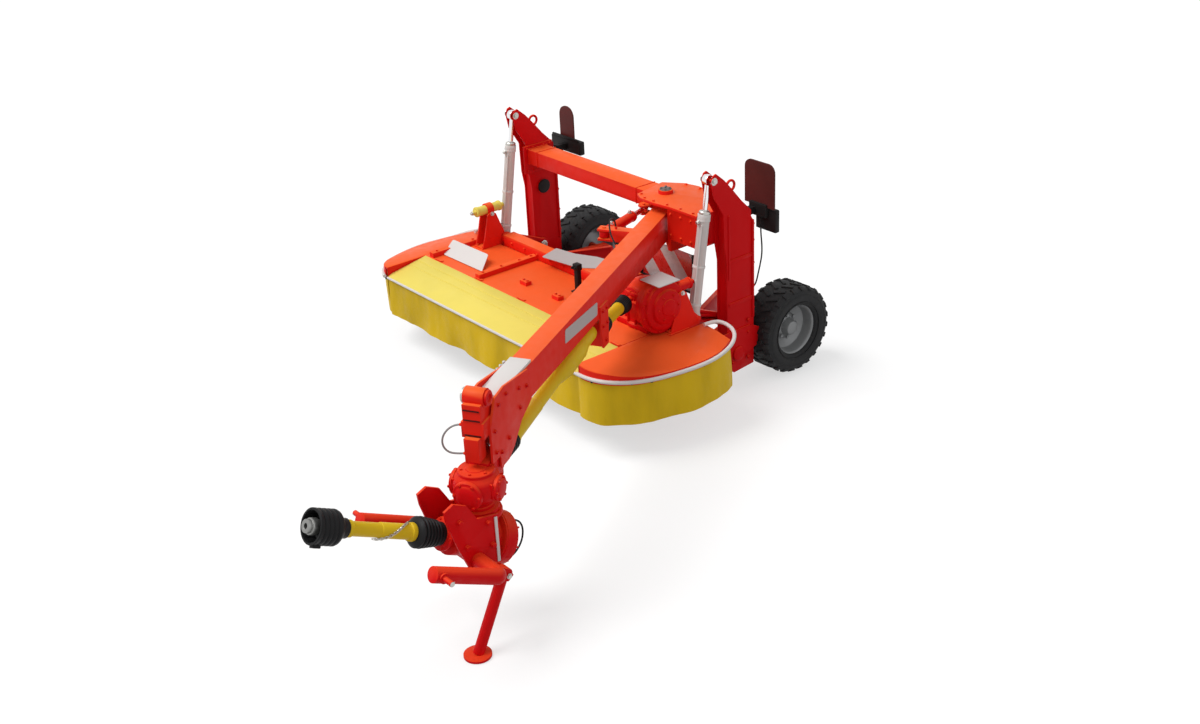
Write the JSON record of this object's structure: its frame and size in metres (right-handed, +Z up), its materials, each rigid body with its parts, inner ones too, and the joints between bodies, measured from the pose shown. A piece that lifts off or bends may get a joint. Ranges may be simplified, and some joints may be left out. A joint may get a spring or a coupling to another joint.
{
  "type": "disc mower conditioner",
  "caption": "Trailed disc mower conditioner on a portal frame with two wheels, side-hung drawbar, swivelling gearbox hitch and raised drive shaft",
  "frame": {"origin": "on the ground under the middle of the whole outline, seen from above", "axes": "-Y is the direction of travel, +X is the machine's left, +Z is up"},
  "size_m": [4.9945, 5.6526, 1.965],
  "materials": {
    "red_paint": "gloss",
    "orange_paint": "gloss",
    "yellow_sheet": "satin",
    "yellow_cloth": "matt",
    "tyre": "matt",
    "rim": "satin",
    "white_paint": "gloss",
    "chrome_rod": "polished",
    "black_part": "satin",
    "grey_metal": "satin",
    "guard_black": "matt",
    "guard_yellow": "matt",
    "striped_board": "gloss"
  },
  "bodies": {
    "frame": {"upright_left": "red_paint", "upright_right": "red_paint", "portal_beam": "orange_paint", "rear_lamp_left": "black_part", "rear_lamp_right": "black_part", "lamp_cable": "black_part"},
    "wheel_left": {"tyre_left": "tyre", "rim_left": "rim"},
    "wheel_right": {"tyre_right": "tyre", "rim_right": "rim"},
    "lower_links": {"lower_link_left": "red_paint", "lower_link_right": "red_paint"},
    "mower": {"deck": "orange_paint", "conditioner_housing": "red_paint", "cutter_bar": "grey_metal", "main_gearbox": "red_paint", "rotor_drive": "red_paint", "relief_unit_left": "yellow_sheet", "relief_unit_right": "yellow_sheet", "lift_barrel_left": "white_paint", "lift_barrel_right": "white_paint", "warning_board": "striped_board", "swath_board_left": "red_paint", "swath_board_right": "red_paint", "cover_left": "orange_paint", "curtain_left": "yellow_cloth"},
    "lift_rods": {"lift_rod_left": "chrome_rod", "lift_rod_right": "chrome_rod"},
    "rotor": {"rotor": "grey_metal"},
    "front_cover": {"front_cover": "yellow_sheet", "front_curtain": "yellow_cloth"},
    "cover_right": {"cover_right": "orange_paint", "curtain_right": "yellow_cloth"},
    "drawbar": {"drawbar": "red_paint", "drawbar_cover": "white_paint", "upper_gearbox": "red_paint", "drive_guard": "guard_yellow", "drive_boot": "guard_black", "nose_hose": "black_part", "cylinder_hose": "black_part"},
    "swing_barrel": {"swing_barrel": "red_paint"},
    "swing_rod": {"swing_rod": "chrome_rod"},
    "link_yoke": {"link_yoke": "grey_metal"},
    "link_shaft": {"link_shaft": "guard_yellow"},
    "link_slide": {"link_slide": "guard_black"},
    "headstock": {"lower_gearbox": "red_paint", "yoke": "red_paint", "pto_bellows": "guard_black", "pto_guard": "guard_yellow", "pto_joint": "guard_black", "headstock_hose": "black_part"},
    "stand": {"stand": "red_paint"},
    "disc_1": {"disc_1": "grey_metal"},
    "disc_2": {"disc_2": "grey_metal"},
    "disc_3": {"disc_3": "grey_metal"},
    "disc_4": {"disc_4": "grey_metal"},
    "disc_5": {"disc_5": "grey_metal"},
    "disc_6": {"disc_6": "grey_metal"},
    "disc_7": {"disc_7": "grey_metal"},
    "disc_8": {"disc_8": "grey_metal"}
  },
  "joints": [
    {"name": "wheel_left_spin", "type": "hinge", "parent": "frame", "child": "wheel_left", "pos_m": [0.714, 2.438, 0.388], "axis": [1, 0, 0], "continuous": true},
    {"name": "wheel_right_spin", "type": "hinge", "parent": "frame", "child": "wheel_right", "pos_m": [-1.934, 2.438, 0.388], "axis": [1, 0, 0], "continuous": true},
    {"name": "mower_lift", "type": "hinge", "parent": "frame", "child": "lower_links", "pos_m": [-0.61, 1.778, 0.63], "axis": [1, 0, 0], "range_deg": [0, 27]},
    {"name": "mower_level", "type": "hinge", "parent": "lower_links", "child": "mower", "pos_m": [-0.61, 1.378, 0.8], "axis": [1, 0, 0], "range_deg": [-28, 1]},
    {"name": "lift_stroke", "type": "slide", "parent": "mower", "child": "lift_rods", "axis": [0, 0.1582, 0.9874], "range_m": [-0.001, 0.21]},
    {"name": "rotor_spin", "type": "hinge", "parent": "mower", "child": "rotor", "pos_m": [-0.61, 1.078, 0.56], "axis": [1, 0, 0], "continuous": true},
    {"name": "front_cover_open", "type": "hinge", "parent": "mower", "child": "front_cover", "pos_m": [-0.61, 0.6625, 0.748], "axis": [-1, 0, 0], "range_deg": [0, 60]},
    {"name": "cover_right_open", "type": "hinge", "parent": "mower", "child": "cover_right", "pos_m": [-2.1105, 0.738, 0.748], "axis": [0, 1, 0], "range_deg": [0, 90]},
    {"name": "disc_1_spin", "type": "hinge", "parent": "mower", "child": "disc_1", "pos_m": [-2.112, 0.508, 0.345], "axis": [0, 0, 1], "continuous": true},
    {"name": "disc_2_spin", "type": "hinge", "parent": "mower", "child": "disc_2", "pos_m": [-1.7, 0.508, 0.345], "axis": [0, 0, 1], "continuous": true},
    {"name": "disc_3_spin", "type": "hinge", "parent": "mower", "child": "disc_3", "pos_m": [-1.288, 0.508, 0.345], "axis": [0, 0, 1], "continuous": true},
    {"name": "disc_4_spin", "type": "hinge", "parent": "mower", "child": "disc_4", "pos_m": [-0.876, 0.508, 0.345], "axis": [0, 0, 1], "continuous": true},
    {"name": "disc_5_spin", "type": "hinge", "parent": "mower", "child": "disc_5", "pos_m": [-0.464, 0.508, 0.345], "axis": [0, 0, 1], "continuous": true},
    {"name": "disc_6_spin", "type": "hinge", "parent": "mower", "child": "disc_6", "pos_m": [-0.052, 0.508, 0.345], "axis": [0, 0, 1], "continuous": true},
    {"name": "disc_7_spin", "type": "hinge", "parent": "mower", "child": "disc_7", "pos_m": [0.36, 0.508, 0.345], "axis": [0, 0, 1], "continuous": true},
    {"name": "disc_8_spin", "type": "hinge", "parent": "mower", "child": "disc_8", "pos_m": [0.772, 0.508, 0.345], "axis": [0, 0, 1], "continuous": true},
    {"name": "drawbar_swing", "type": "hinge", "parent": "frame", "child": "drawbar", "pos_m": [0.01, 1.738, 1.38], "axis": [0, 0, 1], "range_deg": [-40.1, 0]},
    {"name": "swing_barrel_turn", "type": "hinge", "parent": "drawbar", "child": "swing_barrel", "pos_m": [0.04559, 1.03853, 1.44], "axis": [0, 0, 1], "range_deg": [-12, 1]},
    {"name": "swing_stroke", "type": "slide", "parent": "swing_barrel", "child": "swing_rod", "axis": [-0.313, 0.9497, 0], "range_m": [-0.11, 0.001]},
    {"name": "link_turn", "type": "hinge", "parent": "mower", "child": "link_yoke", "pos_m": [0.43, 0.908, 1], "axis": [0, 0, 1], "range_deg": [-78, 1]},
    {"name": "link_pitch", "type": "hinge", "parent": "link_yoke", "child": "link_shaft", "pos_m": [0.43, 0.908, 1], "axis": [-0.8283, -0.5603, 0], "range_deg": [-1, 18]},
    {"name": "link_stroke", "type": "slide", "parent": "link_shaft", "child": "link_slide", "axis": [0.5555, -0.8213, 0.1299], "range_m": [-0.001, 0.06]},
    {"name": "hitch_turn", "type": "hinge", "parent": "drawbar", "child": "headstock", "pos_m": [1.94633, -1.60235, 0.88], "axis": [0, 0, -1], "range_deg": [-75, 45]},
    {"name": "stand_swing", "type": "hinge", "parent": "headstock", "child": "stand", "pos_m": [2.25933, -1.67035, 0.522], "axis": [-1, 0, 0], "range_deg": [-115, 0]}
  ],
  "couplings": [
    {"joint": "mower_level", "follows": "mower_lift", "ratio": -1},
    {"joint": "lift_stroke", "follows": "mower_lift", "m_per_rad": 0.4306},
    {"joint": "link_pitch", "follows": "mower_lift", "ratio": 0.5456},
    {"joint": "swing_barrel_turn", "follows": "drawbar_swing", "ratio": 0.2086},
    {"joint": "swing_stroke", "follows": "drawbar_swing", "m_per_rad": 0.1454},
    {"joint": "link_turn", "follows": "drawbar_swing", "ratio": 1.8606},
    {"joint": "link_stroke", "follows": "drawbar_swing", "m_per_rad": -0.08},
    {"joint": "disc_2_spin", "follows": "disc_1_spin", "ratio": -1},
    {"joint": "disc_3_spin", "follows": "disc_1_spin", "ratio": 1},
    {"joint": "disc_4_spin", "follows": "disc_1_spin", "ratio": -1},
    {"joint": "disc_5_spin", "follows": "disc_1_spin", "ratio": 1},
    {"joint": "disc_6_spin", "follows": "disc_1_spin", "ratio": -1},
    {"joint": "disc_7_spin", "follows": "disc_1_spin", "ratio": 1},
    {"joint": "disc_8_spin", "follows": "disc_1_spin", "ratio": -1}
  ]
}
